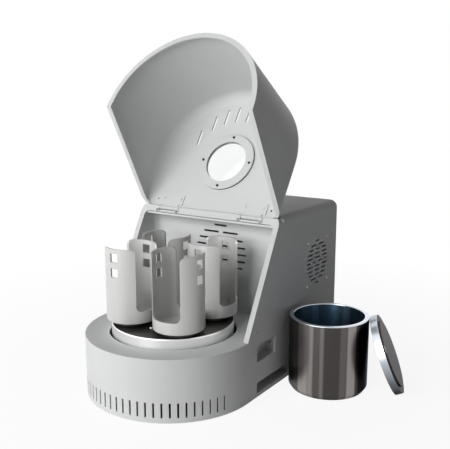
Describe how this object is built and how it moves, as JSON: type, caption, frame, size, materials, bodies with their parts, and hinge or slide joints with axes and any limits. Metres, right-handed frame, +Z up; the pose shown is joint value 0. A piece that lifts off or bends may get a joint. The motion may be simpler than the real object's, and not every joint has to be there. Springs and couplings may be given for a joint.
{
  "type": "planetary ball mill",
  "caption": "Planetary ball mill: turning disc with slotted jar holders, hood with a round window on rear hinges, motor casing behind; a grinding jar and its lid stand beside it.",
  "frame": {"origin": "the disc's axis at bench level", "axes": "+X to the mill's right seen from in front, +Y to the rear, +Z up"},
  "size_m": [0.5096, 0.501, 0.6064],
  "materials": {
    "casing_paint": "smooth cool grey paint",
    "hood_paint": "smooth cool grey paint",
    "liner_paint": "smooth cool grey paint",
    "holder_metal": "satin light grey",
    "disc_metal": "turned, satin",
    "steel": "ground",
    "dark_steel": "blackened",
    "screw_metal": "bright",
    "polished_steel": "polished",
    "bare_aluminium": "milled",
    "iron": "painted",
    "belt_rubber": "matt",
    "foot_rubber": "matt",
    "black_plastic": "matt",
    "panel_film": "satin film",
    "display": "gloss",
    "window_clear": "clear"
  },
  "bodies": {
    "casing": {"lower_casing": "casing_paint", "base_plate": "steel", "feet": "foot_rubber", "upper_casing": "casing_paint", "chamber_liner": "liner_paint", "rear_panel": "casing_paint", "casing_screws": "screw_metal", "mounting_plate": "bare_aluminium", "mounting_posts": "steel", "bearing_housing": "iron", "main_bearings": "steel", "sun_gear": "steel", "sun_gear_screws": "dark_steel", "motor": "iron", "drive_bolts": "dark_steel", "drive_belt": "belt_rubber", "fan_frame": "black_plastic", "mains_inlet": "black_plastic", "switch_frame": "black_plastic", "control_panel": "panel_film", "control_window": "display", "hinge_base_leaves": "hood_paint", "hinge_base_screws": "screw_metal", "hinge_pins": "steel"},
    "hood": {"hood_shell": "hood_paint", "hood_window": "window_clear", "window_gasket": "belt_rubber", "window_ring": "hood_paint", "hood_screws": "dark_steel", "hinge_hood_leaves": "hood_paint"},
    "carrier": {"sun_disc": "disc_metal", "disc_screws": "screw_metal", "carrier_hub": "steel", "main_shaft": "steel", "shaft_cap": "steel", "driven_pulley": "iron", "spindle_bearings": "steel"},
    "planet_1": {"spindle_1": "dark_steel", "planet_gear_1": "steel", "jar_holder_1": "holder_metal", "holder_screw_1": "dark_steel"},
    "planet_2": {"spindle_2": "dark_steel", "planet_gear_2": "steel", "jar_holder_2": "holder_metal", "holder_screw_2": "dark_steel"},
    "planet_3": {"spindle_3": "dark_steel", "planet_gear_3": "steel", "jar_holder_3": "holder_metal", "holder_screw_3": "dark_steel"},
    "planet_4": {"spindle_4": "dark_steel", "planet_gear_4": "steel", "jar_holder_4": "holder_metal", "holder_screw_4": "dark_steel"},
    "motor_rotor": {"motor_rotor": "iron"},
    "fan_rotor": {"fan_rotor": "black_plastic"},
    "power_rocker": {"power_rocker": "black_plastic"},
    "grinding_jar": {"grinding_jar": "polished_steel"},
    "jar_lid": {"jar_lid": "polished_steel"}
  },
  "joints": [
    {"name": "hood_hinge", "type": "hinge", "parent": "casing", "child": "hood", "pos_m": [0, 0.1067, 0.2925], "axis": [1, 0, 0], "range_deg": [0, 124]},
    {"name": "carrier_spin", "type": "hinge", "parent": "casing", "child": "carrier", "pos_m": [0, 0, 0.1], "axis": [0, 0, 1], "continuous": true},
    {"name": "planet_spin_1", "type": "hinge", "parent": "carrier", "child": "planet_1", "pos_m": [0.04975, -0.04889, 0.1], "axis": [0, 0, 1], "continuous": true},
    {"name": "planet_spin_2", "type": "hinge", "parent": "carrier", "child": "planet_2", "pos_m": [0.04889, 0.04975, 0.1], "axis": [0, 0, 1], "continuous": true},
    {"name": "planet_spin_3", "type": "hinge", "parent": "carrier", "child": "planet_3", "pos_m": [-0.04975, 0.04889, 0.1], "axis": [0, 0, 1], "continuous": true},
    {"name": "planet_spin_4", "type": "hinge", "parent": "carrier", "child": "planet_4", "pos_m": [-0.04889, -0.04975, 0.1], "axis": [0, 0, 1], "continuous": true},
    {"name": "motor_spin", "type": "hinge", "parent": "casing", "child": "motor_rotor", "pos_m": [0, 0.222, 0.05], "axis": [0, 0, 1], "continuous": true},
    {"name": "fan_spin", "type": "hinge", "parent": "casing", "child": "fan_rotor", "pos_m": [0.134, 0.252, 0.193], "axis": [1, 0, 0], "continuous": true},
    {"name": "rocker_tilt", "type": "hinge", "parent": "casing", "child": "power_rocker", "pos_m": [0.06, 0.3415, 0.068], "axis": [1, 0, 0], "range_deg": [0, 16]},
    {"name": "jar_lift", "type": "slide", "parent": "casing", "child": "grinding_jar", "axis": [0, 0, 1], "range_m": [0, 0.3]},
    {"name": "jar_lid_lift", "type": "slide", "parent": "casing", "child": "jar_lid", "axis": [0, 0, 1], "range_m": [0, 0.3]}
  ],
  "couplings": [
    {"joint": "planet_spin_1", "follows": "carrier_spin", "ratio": 2},
    {"joint": "planet_spin_2", "follows": "carrier_spin", "ratio": 2},
    {"joint": "planet_spin_3", "follows": "carrier_spin", "ratio": 2},
    {"joint": "planet_spin_4", "follows": "carrier_spin", "ratio": 2},
    {"joint": "motor_spin", "follows": "carrier_spin", "ratio": 2}
  ]
}
